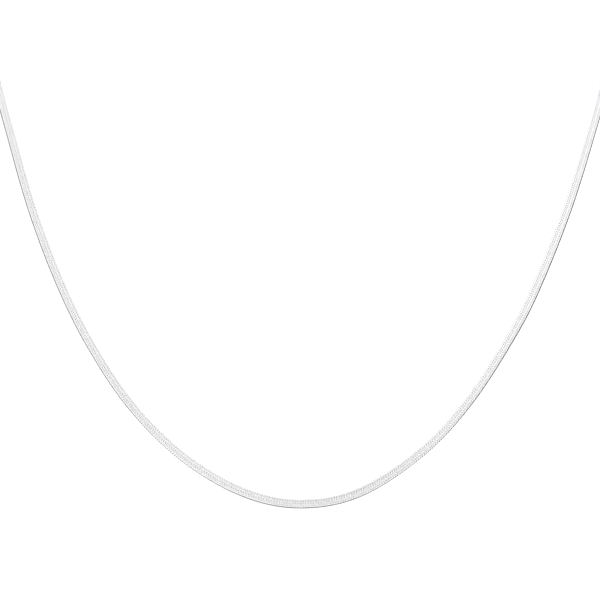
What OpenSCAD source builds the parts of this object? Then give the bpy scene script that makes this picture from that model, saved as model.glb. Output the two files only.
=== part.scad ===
// A flat herringbone chain in the form that it takes round a neck.
// The woven band hangs in a deep curve at the front and runs back over both shoulders to the nape.
// Two end caps, two jump rings and a claw clasp close it there.
// -Y is the front, +Z is up, and the origin is where the closed clasp rests on the nape.

/* [Loop] */
// Distance across the loop, from one shoulder to the other
loop_w = 160; // [140:1:180]
// Depth of the loop from the nape to the front
loop_depth = 110; // [90:1:130]
// Drop of the loop from the nape to its lowest point
loop_drop = 132; // [110:1:160]

/* [Woven band] */
// Width of the band across its flat face
band_w = 2.2; // [1.5:0.1:2.6]
// Thickness of the band between its two faces
band_t = 0.7; // [0.5:0.05:1]
// Bevel along the band's four long corners
band_bevel = 0.15; // [0.05:0.01:0.2]
// Degrees that the face turns in towards the middle where the loop is widest
turn_in = 15; // [0:1:25]

/* [End caps] */
// Length of band that each end cap holds
cap_grip = 3.5; // [2.5:0.5:5]
// Thickness of the end cap's wall round the band
cap_wall = 0.4; // [0.3:0.05:0.6]
// Gap between the band and the inside of the end cap
cap_gap = 0.06; // [0.04:0.01:0.1]
// Chamfer along the outer corners of the end cap
cap_chamfer = 0.25; // [0.1:0.05:0.3]
// Thickness of the flat eye on the end cap
eye_t = 0.7; // [0.5:0.05:0.9]
// Radius of the hole in the eye
eye_r = 0.55; // [0.5:0.05:0.8]
// Width of metal round the hole in the eye
eye_rim = 0.45; // [0.35:0.05:0.6]

/* [Jump rings] */
// Radius of the wire of a jump ring
wire_r = 0.3; // [0.2:0.05:0.35]
// Radius of a jump ring to the middle of its wire
ring_r = 1.7; // [1.6:0.1:2.2]

/* [Clasp] */
// Length of the clasp
clasp_l = 9; // [8:0.5:12]
// Thickness of the clasp, from the neck to its outer face
clasp_t = 1.4; // [1:0.1:1.6]
// Radius of the clasp's wide end, round the jump ring that it holds
claw_r = 2.2; // [2:0.1:2.6]
// Width of metal round the opening in the wide end
claw_wall = 0.9; // [0.8:0.05:1.1]
// Radius of the clasp's narrow end, round its eye
tail_r = 1.25; // [1.2:0.05:1.5]
// Radius of the eye in the narrow end
tail_eye_r = 0.7; // [0.6:0.05:0.8]
// Chamfer along the outer edges of the clasp
clasp_chamfer = 0.3; // [0.1:0.05:0.4]
// Radius of the thumb knob on the clasp
knob_r = 0.6; // [0.4:0.05:0.8]
// Gap between the wide end's metal and the wire that bears on it
bear_gap = 0.35; // [0.3:0.05:0.5]

/* [Hidden] */
$fn = 48;
silver = "#dfe0e2";

// The clasp's inner face rests on the nape, and the closure runs along the middle of its thickness.
closure_y = clasp_t / 2;

// Places along the closure, from its middle outwards
tail_x = clasp_l / 2 - tail_r;
claw_x = clasp_l / 2 - claw_r;
claw_wire_x = clasp_l / 2 - claw_wall - bear_gap - wire_r;
left_ring_x = -(tail_x + ring_r);
right_ring_x = claw_wire_x + ring_r;
left_eye_x = left_ring_x - ring_r;
right_eye_x = right_ring_x + ring_r;

// An end cap's outer margin round the band, and its places measured from the middle of its eye
cap_side = cap_gap + cap_wall;
rim_r = eye_r + eye_rim;
pocket_x = rim_r + cap_wall;
band_end_x = pocket_x + cap_gap;
mouth_x = band_end_x + cap_grip;

// The route of the loop along the middle of the band, from the left end cap round the front to the right.
// Left and right are as seen from the front.
// across is in percent of half the loop's width, forward of its depth and down of its drop.
// lean is the way the outer face looks: 0 is to the front, 90 is up and 180 is to the back.
// across, forward, down, lean
route = [
    [-33.8, -0.5, 0, 172],
    [-53.8, 0.3, 0, 158],
    [-71.9, 2.5, 0.5, 142],
    [-86.2, 7.3, 1.7, 124],
    [-96.2, 16.2, 4.2, 108],
    [-99.4, 25.8, 9.5, 92],
    [-97.4, 35.3, 15.9, 78],
    [-94.4, 43.8, 22.9, 66],
    [-90, 53.3, 31.7, 52],
    [-82.5, 66.1, 46.1, 41],
    [-73.5, 76.4, 59.7, 33],
    [-63.7, 84.3, 71.2, 29],
    [-51.1, 90.7, 82.3, 25],
    [-35.5, 95.6, 91.5, 22],
    [-17.3, 98.5, 97.9, 20],
    [0, 99.5, 100, 20],
    [17.8, 98.5, 97.9, 20],
    [36.5, 95.1, 90.6, 22],
    [51, 90.2, 81.3, 25],
    [64.5, 82.8, 69, 29],
    [72.5, 76.4, 59.7, 33],
    [81.9, 66.1, 46.1, 41],
    [90, 53.3, 31.7, 52],
    [94.4, 43.8, 22.9, 66],
    [97.4, 35.3, 15.9, 78],
    [99.4, 25.8, 9.5, 92],
    [96.2, 16.2, 4.2, 108],
    [86.2, 7.3, 1.7, 124],
    [71.9, 2.5, 0.5, 142],
    [53.8, 0.3, 0, 158],
    [33.8, -0.5, 0, 172]
];
steps = 3;

// The same places in millimetres, with the mouths of the two end caps
function from_shares(r) =
    [r[0] * loop_w / 200, -r[1] * loop_depth / 100, -r[2] * loop_drop / 100, r[3]];
stations = [
    [left_eye_x - mouth_x, closure_y, 0, 180],
    for (r = route) from_shares(r),
    [right_eye_x + mouth_x, closure_y, 0, 180]
];

// A smooth curve through four neighbouring stations, between the middle two
function smooth(a, b, c, d, t) =
    0.5 * (2 * b + (c - a) * t + (2 * a - 5 * b + 4 * c - d) * t * t
           + (3 * b - a - 3 * c + d) * t * t * t);
// Past each end the next station is mirrored, so that the band meets its end caps straight on.
function past(end, next) = [2 * end[0] - next[0], next[1], next[2], next[3]];
function station(i) =
    let (last = len(stations) - 1)
    i < 0 ? past(stations[0], stations[1])
    : i > last ? past(stations[last], stations[last - 1])
    : stations[i];
path = [
    [left_eye_x - band_end_x, closure_y, 0, 180],
    for (i = [0:len(stations) - 2], k = [0:steps - 1])
        smooth(station(i - 1), station(i), station(i + 1), station(i + 2), k / steps),
    stations[len(stations) - 1],
    [right_eye_x + band_end_x, closure_y, 0, 180]
];

function place(i) = [path[i][0], path[i][1], path[i][2]];
function unit(v) = v / norm(v);
function along(i) = unit(place(min(i + 1, len(path) - 1)) - place(max(i - 1, 0)));
// The outer face turns in towards the middle at the front, and out from the neck at the back.
function aim(i) =
    let (lean = path[i][3], turn = turn_in * path[i][0] / (loop_w / 2))
    [-sin(turn) * cos(lean), -cos(lean), sin(lean)];
function outward(i) = unit(aim(i) - (aim(i) * along(i)) * along(i));

// The band's section: across its width, and through its thickness
section = [
    [-band_w / 2, band_bevel - band_t / 2], [band_bevel - band_w / 2, -band_t / 2],
    [band_w / 2 - band_bevel, -band_t / 2], [band_w / 2, band_bevel - band_t / 2],
    [band_w / 2, band_t / 2 - band_bevel], [band_w / 2 - band_bevel, band_t / 2],
    [band_bevel - band_w / 2, band_t / 2], [-band_w / 2, band_t / 2 - band_bevel]
];

module herringbone_band() {
    sides = len(section);
    last = (len(path) - 1) * sides;
    points = [
        for (i = [0:len(path) - 1])
            let (out = outward(i), across = cross(along(i), out))
            for (s = section) place(i) + s[0] * across + s[1] * out
    ];
    walls = [
        for (i = [0:len(path) - 2], k = [0:sides - 1])
            let (a = i * sides + k, b = i * sides + (k + 1) % sides)
            [a, b, b + sides, a + sides]
    ];
    color(silver)
        polyhedron(points, concat(
            [[for (k = [sides - 1:-1:0]) k]],
            walls,
            [[for (k = [0:sides - 1]) last + k]]), convexity = 10);
}

// A box centred on the X axis from x = 0 to x = l, chamfered along its length and at its far end
module chamfered_box(l, w, t, c) {
    hull() {
        translate([0, -t / 2, c - w / 2]) cube([l - c, t, w - 2 * c]);
        translate([0, c - t / 2, -w / 2]) cube([l - c, t - 2 * c, w]);
        translate([0, c - t / 2, c - w / 2]) cube([l, t - 2 * c, w - 2 * c]);
    }
}

// An end cap with its eye's hole at the origin and its pocket open towards +X
module end_cap() {
    color(silver)
        difference() {
            union() {
                translate([mouth_x, 0, 0]) mirror([1, 0, 0])
                    chamfered_box(mouth_x - rim_r, band_w + 2 * cap_side,
                                  band_t + 2 * cap_side, cap_chamfer);
                rotate([90, 0, 0]) cylinder(h = eye_t, r = rim_r, center = true);
                translate([0, -eye_t / 2, -rim_r]) cube([pocket_x, eye_t, 2 * rim_r]);
            }
            rotate([90, 0, 0]) cylinder(h = 2 * eye_t, r = eye_r, center = true);
            translate([pocket_x, -band_t / 2 - cap_gap, -band_w / 2 - cap_gap])
                cube([mouth_x, band_t + 2 * cap_gap, band_w + 2 * cap_gap]);
        }
}

module end_cap_left() {
    translate([left_eye_x, closure_y, 0]) mirror([1, 0, 0]) end_cap();
}

module end_cap_right() {
    translate([right_eye_x, closure_y, 0]) end_cap();
}

module jump_ring(x) {
    color(silver)
        translate([x, closure_y, 0])
            rotate_extrude() translate([ring_r, 0]) circle(r = wire_r, $fn = 24);
}

module jump_ring_left() {
    jump_ring(left_ring_x);
}

module jump_ring_right() {
    jump_ring(right_ring_x);
}

// A disc across the clasp's thickness, chamfered at both rims
module chamfered_disc(r, t, c) {
    rotate([90, 0, 0]) cylinder(h = t - 2 * c, r = r, center = true);
    rotate([90, 0, 0]) cylinder(h = t, r = r - c, center = true);
}

// The closed claw: a tapered body with an opening in its wide end, an eye in its narrow end
// and a thumb knob on its upper edge
module clasp() {
    opening_r = claw_r - claw_wall;
    color(silver)
        translate([0, closure_y, 0])
            difference() {
                union() {
                    hull() {
                        translate([claw_x, 0, 0]) chamfered_disc(claw_r, clasp_t, clasp_chamfer);
                        translate([-tail_x, 0, 0]) chamfered_disc(tail_r, clasp_t, clasp_chamfer);
                    }
                    translate([0, 0, claw_r - knob_r / 2]) rotate([90, 0, 0])
                        cylinder(h = clasp_t - 2 * clasp_chamfer, r = knob_r, center = true);
                }
                translate([claw_x, 0, 0])
                    rotate([90, 0, 0]) cylinder(h = 2 * clasp_t, r = opening_r, center = true);
                translate([-tail_x, 0, 0])
                    rotate([90, 0, 0]) cylinder(h = 2 * clasp_t, r = tail_eye_r, center = true);
            }
}

herringbone_band();
end_cap_left();
end_cap_right();
jump_ring_left();
jump_ring_right();
clasp();
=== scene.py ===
import math

import bmesh
import bpy
import numpy as np
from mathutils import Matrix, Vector


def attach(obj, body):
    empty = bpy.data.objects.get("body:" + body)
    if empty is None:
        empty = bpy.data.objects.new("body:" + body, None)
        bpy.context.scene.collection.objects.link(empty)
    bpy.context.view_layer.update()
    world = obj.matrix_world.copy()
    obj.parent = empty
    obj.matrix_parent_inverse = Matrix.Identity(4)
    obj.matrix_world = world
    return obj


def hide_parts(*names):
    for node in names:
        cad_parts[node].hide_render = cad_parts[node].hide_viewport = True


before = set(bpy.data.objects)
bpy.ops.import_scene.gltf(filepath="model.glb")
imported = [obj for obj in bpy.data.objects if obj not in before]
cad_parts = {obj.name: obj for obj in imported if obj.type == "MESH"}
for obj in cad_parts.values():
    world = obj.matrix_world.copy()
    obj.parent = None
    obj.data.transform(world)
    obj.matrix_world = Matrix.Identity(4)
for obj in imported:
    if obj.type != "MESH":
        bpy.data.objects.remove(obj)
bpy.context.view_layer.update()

# The chain is modelled in millimetres, and each finished piece is brought down to metres.
TO_METRES = 0.001
NEAR = 0.001        # lengths below this count as none
FACING = 0.9        # how squarely a face has to look one way to be picked

# The route, as in the part's source
LOOP_W, LOOP_DEPTH, LOOP_DROP = 160, 110, 132
TURN_IN = 15
LEFT_MOUTH = (-11.61, 0.7, 0, 180)
RIGHT_MOUTH = (11.31, 0.7, 0, 180)
CAP_GRIP = 3.5
# Each place: across in percent of half the loop's width, forward in percent of its depth, down in
# percent of its drop, and the lean of the band's face in degrees
ROUTE = [
    (-33.8, -0.5, 0, 172), (-53.8, 0.3, 0, 158), (-71.9, 2.5, 0.5, 142), (-86.2, 7.3, 1.7, 124),
    (-96.2, 16.2, 4.2, 108), (-99.4, 25.8, 9.5, 92), (-97.4, 35.3, 15.9, 78), (-94.4, 43.8, 22.9, 66),
    (-90, 53.3, 31.7, 52), (-82.5, 66.1, 46.1, 41), (-73.5, 76.4, 59.7, 33), (-63.7, 84.3, 71.2, 29),
    (-51.1, 90.7, 82.3, 25), (-35.5, 95.6, 91.5, 22), (-17.3, 98.5, 97.9, 20), (0, 99.5, 100, 20),
    (17.8, 98.5, 97.9, 20), (36.5, 95.1, 90.6, 22), (51, 90.2, 81.3, 25), (64.5, 82.8, 69, 29),
    (72.5, 76.4, 59.7, 33), (81.9, 66.1, 46.1, 41), (90, 53.3, 31.7, 52), (94.4, 43.8, 22.9, 66),
    (97.4, 35.3, 15.9, 78), (99.4, 25.8, 9.5, 92), (96.2, 16.2, 4.2, 108), (86.2, 7.3, 1.7, 124),
    (71.9, 2.5, 0.5, 142), (53.8, 0.3, 0, 158), (33.8, -0.5, 0, 172),
]
STEPS = 8

# The weave
HALF_W, HALF_T = 1.11, 0.35         # half the band's width and thickness
COURSES = 840                       # courses of links from end to end
COURSE_REACH = 0.53                 # from the band's end to the middle of its first course
STRETCHES = ["band_nape_left", "band_shoulder_left", "band_front_left",
             "band_front_right", "band_shoulder_right", "band_nape_right"]
ROW_W = 0.61                        # width of one of the two middle rows of links
ROW_GAP, EDGE_GAP = 0.02, 0.01      # clearance of a middle link and of an edge link from a row's side
BAR_L, BAR_T = 0.605, 0.17          # a link's width along the band, and its thickness
SLANT = 0.32                        # how far a link leans along the band over its row
ROW_DOME, ROW_TIP = 0.14, 0.05      # rounding of a middle link's face, and of its ends
EDGE_DOME = 0.07                    # rounding of an edge link's face
TURN_R, TURN_STEPS = 0.24, 3        # radius of the fold round the edge, and the steps of a quarter of it
TURN_SPREAD = 1.05                  # how much broader an edge link is where it folds
LIE = (0.008, 0.008, 0.004)         # a link's chance lean along and across the band, and its shift
LIE_SEED = 7

# The layer inside the weave
LAYER_HALF_W, LAYER_HALF_T = 0.93, 0.22
LAYER_CHAMFER = 0.08
LAYER_CUTS = (99, 3)                # cuts from end to end, then more between each two of them

# The closure, as in the part's source
CLOSURE_Y = 0.7
LEFT_EYE_X, RIGHT_EYE_X = -6.65, 6.35
CAP_W, CAP_T = 3.12, 1.62
CAP_WALL, CAP_CHAMFER = 0.4, 0.25
RIM_R, EYE_R, EYE_T = 1.0, 0.55, 0.7
POCKET_X, MOUTH_X = 1.4, 4.96
CLASP_T, CLASP_CHAMFER = 1.4, 0.3
CLAW_X, CLAW_R, CLAW_WALL = 2.3, 2.2, 0.9
TAIL_X, TAIL_R, TAIL_EYE_R = 3.25, 1.25, 0.7
KNOB_R = 0.6

# The closure's finer work
ROUND_SIDES = 64
CLASP_EASE, CAP_EASE = 0.07, 0.05
NECK_X = 1.3                        # the eye's neck ends inside the cap's wall, short of the pocket
POCKET_OVER = 1                     # how far the pocket's blank runs past the cap's mouth
CORNER_ANGLE = 28                   # corners sharper than this are eased
RIVET, RIVET_R, RIVET_PROUD = (-1.7, 0.5), 0.34, 0.05
SEAM_W, SEAM_DEPTH = 0.07, 0.1
NOSE, NOSE_OVER = math.radians(48), 0.2     # where the claw opens, and how far its line overruns the wall
LEVER = ((1.2, 0.0), (-0.9, -0.05), (-2.4, -0.05), (-2.7, 1.9))     # the line round the lever, across and up

# The metals
# The darker silver is painted shade down in the weave's gaps, and the darker end of the inner layer's tone
DARK_SILVER_AND_GAP_SHADE, BRIGHT_SILVER = (0.76, 0.76, 0.76), (0.97, 0.97, 0.97)
CAST_SILVER, CAST_BLOOM = (0.7, 0.7, 0.7), (0.79, 0.79, 0.79)
GAP_SHADE = ((0.0, 0.0), (0.3, 0.7), (0.6, 1.0))     # painted shade: how bright a link is, darker down in the gaps, up to its face
LOWEST_X, LOWEST_SPAN = 0.008, 0.0007   # where the painted shade is strongest, just right of the band's lowest place, and the square of its reach
TONE_AWAY, TONE_LOW = 0.4, 0.92     # the links' own random tones, painted stronger near there as shade: their share away from there, and the darkest
DOME_SHADE_AWAY, DOME_SHADE_LOW = 0.3, 0.86     # painted shade on the links' sides, as if each were domed: the same
WEAVE_MARKS, CAST_MARKS = 0.000004, 0.000003    # depth of the rubbing marks in metres


# At the bench
def clear_the_bench():
    if bpy.context.object and bpy.context.object.mode != "OBJECT":
        bpy.ops.object.mode_set(mode="OBJECT")
    bpy.ops.object.select_all(action="DESELECT")


def take(*pieces):
    """Selects these pieces alone, with the first one active."""
    clear_the_bench()
    for piece in pieces:
        piece.select_set(True)
    bpy.context.view_layer.objects.active = pieces[0]
    return pieces[0]


def clear_away(*pieces):
    take(*pieces)
    bpy.ops.object.delete()


def edit(piece):
    take(piece)
    bpy.ops.object.mode_set(mode="EDIT")
    bpy.ops.mesh.select_all(action="DESELECT")


def pick(kind, wanted):
    """Selects the faces or edges of the piece in hand that the test wants, and nothing else."""
    bpy.ops.mesh.select_all(action="DESELECT")
    bpy.ops.mesh.select_mode(type={"faces": "FACE", "edges": "EDGE"}[kind])
    mesh = bmesh.from_edit_mesh(bpy.context.object.data)
    for part in getattr(mesh, kind):
        if wanted(part):
            part.select_set(True)
    mesh.select_flush_mode()
    bmesh.update_edit_mesh(bpy.context.object.data)


def runs_along(edge):
    """Whether an edge runs along the straight band."""
    return abs(edge.verts[0].co.x - edge.verts[1].co.x) > NEAR


def runs_across(edge):
    """Whether an edge runs across the straight band."""
    return abs(edge.verts[0].co.y - edge.verts[1].co.y) > NEAR


def lowest_of(edge):
    return min(v.co.z for v in edge.verts)


def block(name, low, high):
    """A plain block between two corners, to be shaped."""
    clear_the_bench()
    low, high = Vector(low), Vector(high)
    bpy.ops.mesh.primitive_cube_add(size=1, location=(low + high) / 2)
    made = bpy.context.object
    made.name = made.data.name = name
    made.scale = high - low
    bpy.ops.object.transform_apply(location=True, rotation=True, scale=True)
    return made


def copy_of(piece, name):
    """A copy with its own mesh."""
    take(piece)
    bpy.ops.object.duplicate(linked=False)
    copy = bpy.context.object
    copy.name = copy.data.name = name
    return copy


def join(name, *pieces):
    made = take(*pieces)
    bpy.ops.object.join()
    made.name = made.data.name = name
    return made


def smooth(piece, angle=50):
    take(piece)
    bpy.ops.object.shade_smooth_by_angle(angle=math.radians(angle))


# The links
def mark_breadth(link):
    """Writes on a straight bar which side of it each point is on, from -1 to 1 along the band.
    What is bevelled or extruded from it later keeps the marks. The metal paints shade on the links' sides
    from them."""
    co = np.array([v.co.x for v in link.data.vertices])
    link.data.attributes.new("breadth", "FLOAT", "POINT").data.foreach_set("value", co / (BAR_L / 2))


def row_link(name, side):
    """A link of one of the two middle rows: a short slanted bar with rounded ends and a domed face."""
    across = side * ROW_W / 2
    link = block(name, (-BAR_L / 2, across - ROW_W / 2 + ROW_GAP, HALF_T - BAR_T),
                 (BAR_L / 2, across + ROW_W / 2 - ROW_GAP, HALF_T))
    mark_breadth(link)
    edit(link)
    for end in (-1, 1):
        pick("faces", lambda face: face.normal.y * end > FACING)
        bpy.ops.transform.translate(value=(side * end * SLANT / 2, 0, 0))
    pick("edges", lambda edge: lowest_of(edge) > HALF_T - NEAR and runs_across(edge))
    bpy.ops.mesh.bevel(offset=ROW_DOME, segments=3, affect="EDGES")
    pick("edges", lambda edge: lowest_of(edge) > HALF_T - ROW_DOME + NEAR and not runs_across(edge))
    bpy.ops.mesh.bevel(offset=ROW_TIP, segments=2, affect="EDGES")
    bpy.ops.object.mode_set(mode="OBJECT")
    return link


def fold(centre, drift):
    """Carries the picked end of an edge link through a quarter turn, drifting along the band."""
    for _ in range(TURN_STEPS):
        bpy.ops.mesh.extrude_region()
        bpy.ops.transform.rotate(value=math.radians(-90 / TURN_STEPS), orient_axis="X",
                                 center_override=centre)
        bpy.ops.transform.translate(value=(drift, 0, 0))


def edge_link(name):
    """A link of the lower edge: it starts on the face, folds round the edge and comes back underneath."""
    start, turn, wall = -ROW_W - EDGE_GAP, -HALF_W + TURN_R, HALF_T - TURN_R
    run = SLANT / 2 * (start - turn) / (ROW_W / 2)
    drift = (SLANT - run) / TURN_STEPS
    link = block(name, (-BAR_L / 2, turn, HALF_T - BAR_T), (BAR_L / 2, start, HALF_T))
    mark_breadth(link)
    edit(link)
    pick("faces", lambda face: face.normal.y > FACING)
    bpy.ops.transform.translate(value=(SLANT / 2, 0, 0))
    pick("faces", lambda face: face.normal.y < -FACING)
    bpy.ops.transform.translate(value=(SLANT / 2 - run, 0, 0))
    pick("edges", lambda edge: lowest_of(edge) > HALF_T - NEAR and runs_across(edge))
    bpy.ops.mesh.bevel(offset=EDGE_DOME, segments=2, affect="EDGES")
    pick("faces", lambda face: face.normal.y < -FACING)
    bpy.ops.transform.resize(value=(TURN_SPREAD, 1, 1))
    fold((0, turn, wall), -drift)
    bpy.ops.mesh.extrude_region()
    bpy.ops.transform.translate(value=(0, 0, -2 * wall))
    fold((0, turn, -wall), drift)
    bpy.ops.mesh.extrude_region()
    bpy.ops.transform.translate(value=(run, start - turn, 0))
    bpy.ops.object.mode_set(mode="OBJECT")
    return link


def turned_over(link):
    """A copy of a link turned over about the band's length, for the other face or edge."""
    copy = copy_of(link, link.name + "_turned")
    copy.rotation_euler = (math.pi, 0, 0)
    bpy.ops.object.transform_apply(location=False, rotation=True, scale=False)
    return copy


def mark_link(link, number):
    """Writes on a link its number in the course, and how near each point is to the band's surface, from
    which the metal paints shade down in the gaps and makes them duller.
    """
    co = np.array([v.co for v in link.data.vertices])
    below = np.minimum(HALF_T - abs(co[:, 2]), HALF_W - abs(co[:, 1]))
    marks = np.zeros_like(co)
    marks[:, 1] = number
    marks[:, 2] = 1 - np.clip(below / BAR_T, 0, 1)
    link.data.attributes.new("weave", "FLOAT_VECTOR", "POINT").data.foreach_set("vector", marks.ravel())


def course():
    """One course of the weave: two rows on each face, and a link folded round each edge."""
    links = [row_link("lower_row_link", -1), row_link("upper_row_link", 1), edge_link("edge_link")]
    links += [turned_over(link) for link in links]
    for number, link in enumerate(links):
        mark_link(link, number)
    return join("course", *links)


def settle(strap, first_course, in_course):
    """Numbers the courses, and lets every link lie a hair differently from its neighbours.
    What leans is also sunk as far, so that no link stands proud."""
    mesh = strap.data
    co = np.empty(len(mesh.vertices) * 3)
    mesh.vertices.foreach_get("co", co)
    co = co.reshape(-1, in_course, 3)
    marks = np.empty(co.size)
    weave = mesh.attributes["weave"].data
    weave.foreach_get("vector", marks)
    marks = marks.reshape(co.shape)
    marks[:, :, 0] = first_course + np.arange(len(co))[:, None]
    weave.foreach_set("vector", marks.ravel())
    chance = np.random.default_rng(first_course + LIE_SEED)
    for number in range(int(marks[:, :, 1].max()) + 1):
        own = marks[0, :, 1] == number
        part = co[:, own]
        lie = chance.uniform(-1, 1, (len(co), 3)) * LIE
        away = part - part.mean(axis=1, keepdims=True)
        edge = number % 3 == 2      # every third link is an edge link, and has two faces
        face = np.sign(away[:, :, 2] if edge else part[:, :, 2])
        sink = abs(lie[:, 0] * BAR_L / 2) + abs(lie[:, 1] * ROW_W / 2)
        part[:, :, 2] += lie[:, :1] * away[:, :, 0] + lie[:, 1:2] * away[:, :, 1] - face * sink[:, None]
        part[:, :, 0] += lie[:, 2:]
        co[:, own] = part
    mesh.vertices.foreach_set("co", co.ravel())
    mesh.update()


# Laying the band along its route
def smooth_between(a, b, c, d, t):
    """The place t of the way from b to c on a smooth line through four places."""
    return [0.5 * (2 * q + (r - p) * t + (2 * p - 5 * q + 4 * r - s) * t ** 2
                   + (3 * q - p - 3 * r + s) * t ** 3) for p, q, r, s in zip(a, b, c, d)]


def route():
    """Places along the middle of the band, each with the lean of its face."""
    stops = [LEFT_MOUTH] + [(a * LOOP_W / 200, -f * LOOP_DEPTH / 100, -d * LOOP_DROP / 100, lean)
                            for a, f, d, lean in ROUTE] + [RIGHT_MOUTH]
    ends = (stops[0], stops[1]), (stops[-1], stops[-2])
    past = [(2 * end[0] - near[0], *near[1:]) for end, near in ends]
    stops = [past[0]] + stops + [past[1]]
    places = [smooth_between(*stops[i - 1:i + 3], k / STEPS)
              for i in range(1, len(stops) - 2) for k in range(STEPS)]
    left, right = LEFT_MOUTH, RIGHT_MOUTH
    return [(left[0] + CAP_GRIP, *left[1:])] + places + [right, (right[0] - CAP_GRIP, *right[1:])]


def route_line():
    """The curve that the strap is bent along, turned so that the strap's face looks outwards."""
    places = route()
    points = [Vector(place[:3]) for place in places]
    line = bpy.data.curves.new("route_line", "CURVE")
    line.dimensions, line.twist_mode, line.use_deform_bounds = "3D", "Z_UP", False
    spline = line.splines.new("POLY")
    spline.points.add(len(points) - 1)
    for i, (point, (x, _, _, lean)) in enumerate(zip(spline.points, places)):
        ahead = (points[min(i + 1, len(points) - 1)] - points[max(i - 1, 0)]).normalized()
        turn, lean = math.radians(TURN_IN * x / (LOOP_W / 2)), math.radians(lean)
        aim = Vector((-math.sin(turn) * math.cos(lean), -math.cos(lean), math.sin(lean)))
        up = Vector((0, 0, 1)) - ahead.z * ahead
        aim -= aim.dot(ahead) * ahead
        point.co = (*points[i], 1)
        point.tilt = math.atan2(up.cross(aim).dot(ahead), up.dot(aim))
    made = bpy.data.objects.new("route_line", line)
    bpy.context.scene.collection.objects.link(made)
    length = sum((b - a).length for a, b in zip(points, points[1:]))
    return made, length


def repeat(piece, count, pitch):
    take(piece)
    array = piece.modifiers.new("courses", "ARRAY")
    array.use_relative_offset, array.use_constant_offset = False, True
    array.constant_offset_displace = (pitch, 0, 0)
    array.count = count
    bpy.ops.object.modifier_apply(modifier=array.name)


def lay(piece, line):
    """Bends a straight piece along the route and brings it down to metres."""
    take(piece)
    bend = piece.modifiers.new("route", "CURVE")
    bend.object, bend.deform_axis = line, "POS_X"
    bpy.ops.object.modifier_apply(modifier=bend.name)
    to_size(piece)


def to_size(piece):
    take(piece)
    piece.scale = (TO_METRES,) * 3
    bpy.ops.object.transform_apply(location=False, rotation=False, scale=True)


def inner_layer(length):
    """The thin strap that the links are laid round, cut finely enough to bend."""
    layer = block("band_inner_layer", (COURSE_REACH, -LAYER_HALF_W, -LAYER_HALF_T),
                  (length - COURSE_REACH, LAYER_HALF_W, LAYER_HALF_T))
    edit(layer)
    pick("edges", runs_along)
    bpy.ops.mesh.bevel(offset=LAYER_CHAMFER, segments=1, affect="EDGES")
    for cuts in LAYER_CUTS:
        pick("edges", runs_along)
        bpy.ops.mesh.subdivide(number_cuts=cuts)
    bpy.ops.object.mode_set(mode="OBJECT")
    return layer


def woven_band():
    """The band in six stretches, each a joined mesh of courses, round one thin inner layer."""
    line, length = route_line()
    pitch = (length - 2 * COURSE_REACH) / (COURSES - 1)
    first = course()
    in_course = len(first.data.vertices)
    share = COURSES // len(STRETCHES)
    stretches = []
    for number, name in enumerate(STRETCHES):
        stretch = copy_of(first, name)
        stretch.location.x = COURSE_REACH + number * share * pitch
        bpy.ops.object.transform_apply(location=True, rotation=False, scale=False)
        repeat(stretch, share, pitch)
        settle(stretch, number * share, in_course)
        stretches.append(stretch)
    layer = inner_layer(length)
    for piece in (*stretches, layer):
        smooth(piece)
        lay(piece, line)
    clear_away(first, line)
    return stretches, layer


# The closure
def disc(name, x, z, radius, depth):
    """A round blank lying across the closure's thickness."""
    clear_the_bench()
    bpy.ops.mesh.primitive_cylinder_add(vertices=ROUND_SIDES, radius=radius, depth=depth,
                                        location=(x, 0, z), rotation=(math.radians(90), 0, 0))
    made = bpy.context.object
    made.name = made.data.name = name
    bpy.ops.object.transform_apply(location=True, rotation=True, scale=True)
    return made


def cast_round(name, *blanks):
    """One solid drawn tightly round several blanks, with its flats in one face each."""
    made = join(name, *blanks)
    edit(made)
    bpy.ops.mesh.select_all(action="SELECT")
    bpy.ops.mesh.convex_hull(use_existing_faces=False)
    bpy.ops.mesh.select_all(action="SELECT")
    bpy.ops.mesh.dissolve_limited(angle_limit=math.radians(0.5))
    bpy.ops.object.mode_set(mode="OBJECT")
    return made


def work_in(piece, other, operation):
    """Solders another blank on, or cuts it out, and clears it away."""
    take(piece)
    joint = piece.modifiers.new("joint", "BOOLEAN")
    joint.operation, joint.object, joint.solver = operation, other, "EXACT"
    bpy.ops.object.modifier_apply(modifier=joint.name)
    clear_away(other)


def scribe(piece, start, end, low, high):
    """Cuts a straight narrow line between two places, from low to high through the thickness."""
    along, up = end[0] - start[0], end[1] - start[1]
    blade = block("blade", (0, low, -SEAM_W / 2), (math.hypot(along, up), high, SEAM_W / 2))
    blade.location, blade.rotation_euler = (start[0], 0, start[1]), (0, -math.atan2(up, along), 0)
    take(blade)
    bpy.ops.object.transform_apply(location=True, rotation=True, scale=True)
    work_in(piece, blade, "DIFFERENCE")


def ease(piece, width):
    """Takes the sharpness off every corner."""
    take(piece)
    corner = piece.modifiers.new("corner", "BEVEL")
    corner.width, corner.segments, corner.limit_method = width, 2, "ANGLE"
    corner.angle_limit = math.radians(CORNER_ANGLE)
    bpy.ops.object.modifier_apply(modifier=corner.name)


def shine(piece):
    """Smooths the rounded parts, and keeps the flats looking flat."""
    smooth(piece, angle=35)
    flats = piece.modifiers.new("flats", "WEIGHTED_NORMAL")
    flats.keep_sharp = True
    bpy.ops.object.modifier_apply(modifier=flats.name)


def set_in_place(piece, x, turn=0):
    piece.location, piece.rotation_euler = (x, CLOSURE_Y, 0), (0, 0, math.radians(turn))
    take(piece)
    bpy.ops.object.transform_apply(location=True, rotation=True, scale=True)
    to_size(piece)


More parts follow.
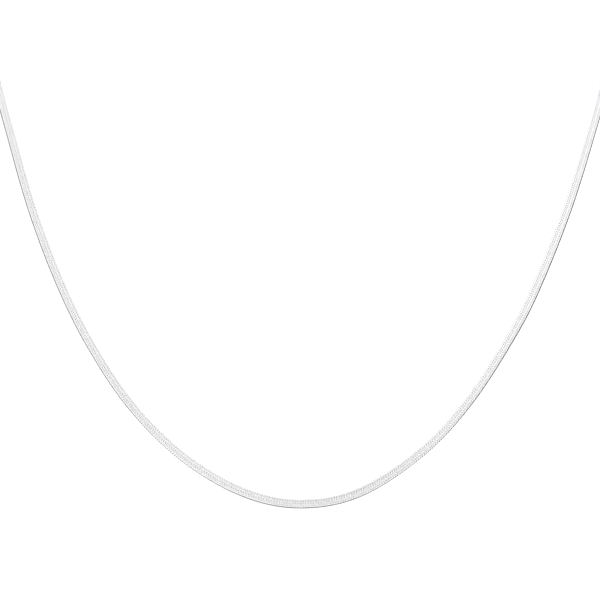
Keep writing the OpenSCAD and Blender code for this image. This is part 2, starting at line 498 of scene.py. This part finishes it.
def claw_clasp():
    """The closed claw: a tapered body with an opening for the ring, an eye and a thumb knob.
    Fine lines show where its lever lies, and a rivet where it would turn."""
    claw = cast_round("claw_clasp", *(
        disc("blank", x, 0, radius - taken, CLASP_T - left)
        for x, radius in ((CLAW_X, CLAW_R), (-TAIL_X, TAIL_R))
        for taken, left in ((0, 2 * CLASP_CHAMFER), (CLASP_CHAMFER, 0))))
    work_in(claw, disc("knob", 0, CLAW_R - KNOB_R / 2, KNOB_R, CLASP_T - 2 * CLASP_CHAMFER), "UNION")
    work_in(claw, disc("opening", CLAW_X, 0, CLAW_R - CLAW_WALL, 2 * CLASP_T), "DIFFERENCE")
    work_in(claw, disc("eye", -TAIL_X, 0, TAIL_EYE_R, 2 * CLASP_T), "DIFFERENCE")
    ease(claw, CLASP_EASE)
    work_in(claw, disc("rivet", *RIVET, RIVET_R, CLASP_T + 2 * RIVET_PROUD), "UNION")
    nose = [(CLAW_X + reach * math.cos(NOSE), reach * math.sin(NOSE))
            for reach in (CLAW_R - CLAW_WALL - NOSE_OVER, CLAW_R + NOSE_OVER)]
    scribe(claw, *nose, -CLASP_T, CLASP_T)
    for low, high in ((CLASP_T / 2 - SEAM_DEPTH, CLASP_T), (-CLASP_T, SEAM_DEPTH - CLASP_T / 2)):
        for start, end in zip(LEVER, LEVER[1:]):
            scribe(claw, start, end, low, high)
    shine(claw)
    set_in_place(claw, 0)
    return claw


def end_cap(name, x, turn):
    """A plain cap: a hollow sleeve with chamfered corners, and a flat eye."""
    cap = block(name, (RIM_R, -CAP_T / 2, -CAP_W / 2), (MOUTH_X, CAP_T / 2, CAP_W / 2))
    edit(cap)
    pick("edges", lambda edge: min(v.co.x for v in edge.verts) < MOUTH_X - NEAR)
    bpy.ops.mesh.bevel(offset=CAP_CHAMFER, segments=1, affect="EDGES")
    bpy.ops.object.mode_set(mode="OBJECT")
    neck = block("neck", (0, -EYE_T / 2, -RIM_R), (NECK_X, EYE_T / 2, RIM_R))
    work_in(cap, cast_round("eye", disc("rim", 0, 0, RIM_R, EYE_T), neck), "UNION")
    work_in(cap, block("pocket", (POCKET_X, CAP_WALL - CAP_T / 2, CAP_WALL - CAP_W / 2),
                       (MOUTH_X + POCKET_OVER, CAP_T / 2 - CAP_WALL, CAP_W / 2 - CAP_WALL)), "DIFFERENCE")
    work_in(cap, disc("hole", 0, 0, EYE_R, 2 * EYE_T), "DIFFERENCE")
    ease(cap, CAP_EASE)
    shine(cap)
    set_in_place(cap, x, turn)
    return cap


# The metal
class Number:
    """A number that changes over the metal: sums on it add Math nodes."""

    def __init__(self, metal, socket):
        self.metal, self.socket = metal, socket

    def worked(self, operation, *others):
        return self.metal.number("Math", dict(enumerate((self, *others))), operation=operation)

    def __add__(self, other):
        return self.worked("ADD", other)

    def __sub__(self, other):
        return self.worked("SUBTRACT", other)

    def __mul__(self, other):
        return self.worked("MULTIPLY", other)

    def __rsub__(self, other):
        return self * -1 + other

    __radd__, __rmul__ = __add__, __mul__


class Metal:
    """A metal's nodes, each added by one call."""

    # Sockets of a Mix node that mixes colours
    SHARE, FIRST, SECOND, MIXED = 0, 6, 7, 2

    def __init__(self, name):
        self.material = bpy.data.materials.new(name)
        self.material.use_nodes = True
        self.tree = self.material.node_tree
        self.tree.nodes.clear()

    def node(self, kind, sockets=None, stops=(), **settings):
        made = self.tree.nodes.new("ShaderNode" + kind)
        for name, value in settings.items():
            setattr(made, name, value)
        for at, (place, tone) in enumerate(stops):
            elements = made.color_ramp.elements
            element = elements[at] if at < len(elements) else elements.new(place)
            element.position, element.color = place, (tone, tone, tone, 1)
        for name, value in (sockets or {}).items():
            value = value.socket if isinstance(value, Number) else value
            if isinstance(value, bpy.types.NodeSocket):
                self.tree.links.new(value, made.inputs[name])
            else:
                made.inputs[name].default_value = value
        return made

    def number(self, kind, sockets, **settings):
        """What a new node gives first, as a number."""
        return Number(self, self.node(kind, sockets, **settings).outputs[0])

    def mark(self, name, output):
        """What is written on the mesh under this name."""
        return self.node("Attribute", attribute_name=name, attribute_type="GEOMETRY").outputs[output]

    def place(self):
        return self.node("TexCoord").outputs["Object"]

    def parts(self, vector):
        """The three numbers of a vector."""
        return [Number(self, part) for part in self.node("SeparateXYZ", {0: vector}).outputs]

    def grain(self, scale, detail, stretch=(1, 1, 1)):
        """Fine cloudy variation from 0 to 1 over the object, in features of 1 / scale metres."""
        place = self.node("Mapping", {"Vector": self.place(), "Scale": stretch}).outputs[0]
        return self.number("TexNoise", {"Vector": place, "Scale": scale, "Detail": detail})

    def fading(self, number, until):
        """1 where the number is 0, down to 0 where it is until or more."""
        return self.number("MapRange", {0: number, 1: 0.0, 2: until, 3: 1.0, 4: 0.0})

    def between(self, share, low, high):
        """A colour that goes from low to high with share."""
        sockets = {self.SHARE: share, self.FIRST: (*low, 1), self.SECOND: (*high, 1)}
        return self.node("Mix", sockets, data_type="RGBA").outputs[self.MIXED]

    def times(self, colour, share, low):
        """The colour, darkened towards low of itself where share is 0."""
        grey = self.between(share, (low, low, low), (1, 1, 1))
        sockets = {self.SHARE: 1.0, self.FIRST: colour, self.SECOND: grey}
        return self.node("Mix", sockets, data_type="RGBA", blend_type="MULTIPLY").outputs[self.MIXED]

    def finish(self, colour, roughness, relief, depth):
        bump = self.node("Bump", {"Height": relief, "Distance": depth, "Strength": 1.0})
        shader = self.node("BsdfPrincipled", {"Base Color": colour, "Roughness": roughness,
                                              "Metallic": 1.0, "Normal": bump.outputs[0]})
        self.node("OutputMaterial", {"Surface": shader.outputs[0]})
        return self.material


def woven_silver():
    """Bright links, each with its own tone, duller down in the gaps between them and darker there with
    painted shade.
    The links' tones, and the painted shade on their sides, show fully near the band's lowest place, where
    they are painted as shade, and less elsewhere."""
    metal = Metal("woven_silver")
    in_band, in_course, crest = metal.parts(metal.mark("weave", "Vector"))
    own = metal.node("CombineXYZ", {0: in_band, 1: in_course}).outputs[0]
    tone = metal.number("TexWhiteNoise", {"Vector": own}, noise_dimensions="3D")
    # painted shade: the links darken down in the gaps between them, where shade falls
    gap_shade = metal.node("ValToRGB", {"Fac": crest}, stops=GAP_SHADE).outputs[0]
    colour = metal.between(gap_shade, DARK_SILVER_AND_GAP_SHADE, BRIGHT_SILVER)
    # painted shade: near the band's lowest place the tones and the side shade are painted strongest
    away = metal.parts(metal.place())[0] - LOWEST_X
    lowest = metal.fading(away * away, LOWEST_SPAN)
    # painted shade: each link darker towards its sides, as if domed
    side = Number(metal, metal.mark("breadth", "Fac"))
    for mark, least, low in ((tone, TONE_AWAY, TONE_LOW), (side * side, DOME_SHADE_AWAY, DOME_SHADE_LOW)):
        colour = metal.times(colour, 1 - mark * (least + lowest * (1 - least)), low)
    rub = metal.grain(scale=2600, detail=4)
    roughness = 0.34 - crest * 0.2 + tone * 0.06 + rub * 0.08
    return metal.finish(colour, roughness, rub, WEAVE_MARKS)


def layer_silver():
    """The inner layer, seen only down in the gaps: dull and a little tarnished."""
    metal = Metal("layer_silver")
    rub = metal.grain(scale=1800, detail=3)
    roughness = 0.4 + rub * 0.15
    return metal.finish(metal.between(rub, DARK_SILVER_AND_GAP_SHADE, BRIGHT_SILVER), roughness, rub, WEAVE_MARKS)


def polished_silver():
    """Cast and polished silver with fine rubbing marks and a faint bloom."""
    metal = Metal("polished_silver")
    rub = metal.grain(scale=2200, detail=5, stretch=(1, 3, 1))
    bloom = metal.grain(scale=320, detail=3)
    colour = metal.times(metal.between(bloom, CAST_SILVER, CAST_BLOOM), rub, low=0.96)
    roughness = 0.1 + rub * 0.1 + bloom * 0.06
    return metal.finish(colour, roughness, rub, CAST_MARKS)


def coat(piece, metal):
    piece.data.materials.clear()
    piece.data.materials.append(metal)


# The room and the camera
ROOM_LIGHT = 1.19
FLOOR = ("pale_floor", (0, 2, -0.32), (12, 12), (0, 2, 1), 0.96)
# Each card in metres: its name, place, size, the place that it faces, and its tone
CARDS = (
    ("dark_card_right", (0.15, 0, -0.09), (0.4, 0.22), (0, 0, -0.09), 0.01),
    ("grey_card_left", (-0.15, 0.1, 0), (0.6, 0.4), (0, 0.1, 0), 0.3),
    ("grey_card_below", (0, -0.11, -0.25), (0.32, 0.4), (0, -0.11, 0), 0.06),
    ("pale_card_above", (0.27, -0.3, 0.6), (0.54, 1.2), (0.27, -0.3, 0), 0.8),
    ("pale_card_front", (0, -1.05, 0.62), (0.5, 0.5), (0, -0.11, -0.13), 0.65),
)
LENS, SENSOR, CLIP = 375, 36, (0.05, 50)
CAMERA_PLACE = (-0.00018, -1.60946, -0.08304)


def flat_card(name, place, size, look_at, tone):
    """A flat card of matt paper that faces a point."""
    clear_the_bench()
    bpy.ops.mesh.primitive_plane_add(size=1, location=place)
    card = bpy.context.object
    card.name = name
    card.scale = (*size, 1)
    card.rotation_euler = (Vector(look_at) - Vector(place)).to_track_quat("Z", "Y").to_euler()
    paper = bpy.data.materials.new(name)
    paper.use_nodes = True
    shader = paper.node_tree.nodes["Principled BSDF"]
    shader.inputs["Base Color"].default_value = (tone, tone, tone, 1)
    shader.inputs["Roughness"].default_value = 0.9
    card.data.materials.append(paper)
    return card


def room():
    """A white room with a pale floor, and cards that show in the silver and not to the camera."""
    world = bpy.data.worlds.new("white_room")
    world.use_nodes = True
    world.node_tree.nodes["Background"].inputs["Color"].default_value = (1, 1, 1, 1)
    world.node_tree.nodes["Background"].inputs["Strength"].default_value = ROOM_LIGHT
    bpy.context.scene.world = world
    bpy.context.scene.view_settings.view_transform = "Standard"
    flat_card(*FLOOR)
    for numbers in CARDS:
        card = flat_card(*numbers)
        card.visible_camera = card.visible_diffuse = card.visible_shadow = False


def camera():
    view = bpy.data.cameras.new("camera")
    view.lens, view.sensor_width = LENS, SENSOR
    view.clip_start, view.clip_end = CLIP
    made = bpy.data.objects.new("camera", view)
    made.location = CAMERA_PLACE
    made.rotation_euler = (math.radians(90), 0, 0)
    bpy.context.scene.collection.objects.link(made)
    bpy.context.scene.camera = made


# Putting it together
stretches, layer = woven_band()
woven = woven_silver()
for stretch in stretches:
    coat(stretch, woven)
coat(layer, layer_silver())
for piece in (*stretches, layer):
    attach(piece, "root")
    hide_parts("herringbone_band")
polished = polished_silver()
for piece, node in ((claw_clasp(), "clasp"),
                    (end_cap("cap_left", LEFT_EYE_X, 180), "end_cap_left"),
                    (end_cap("cap_right", RIGHT_EYE_X, 0), "end_cap_right")):
    coat(piece, polished)
    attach(piece, "root")
    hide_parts(node)
for name in ("jump_ring_left", "jump_ring_right"):
    coat(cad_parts[name], polished)
room()
camera()
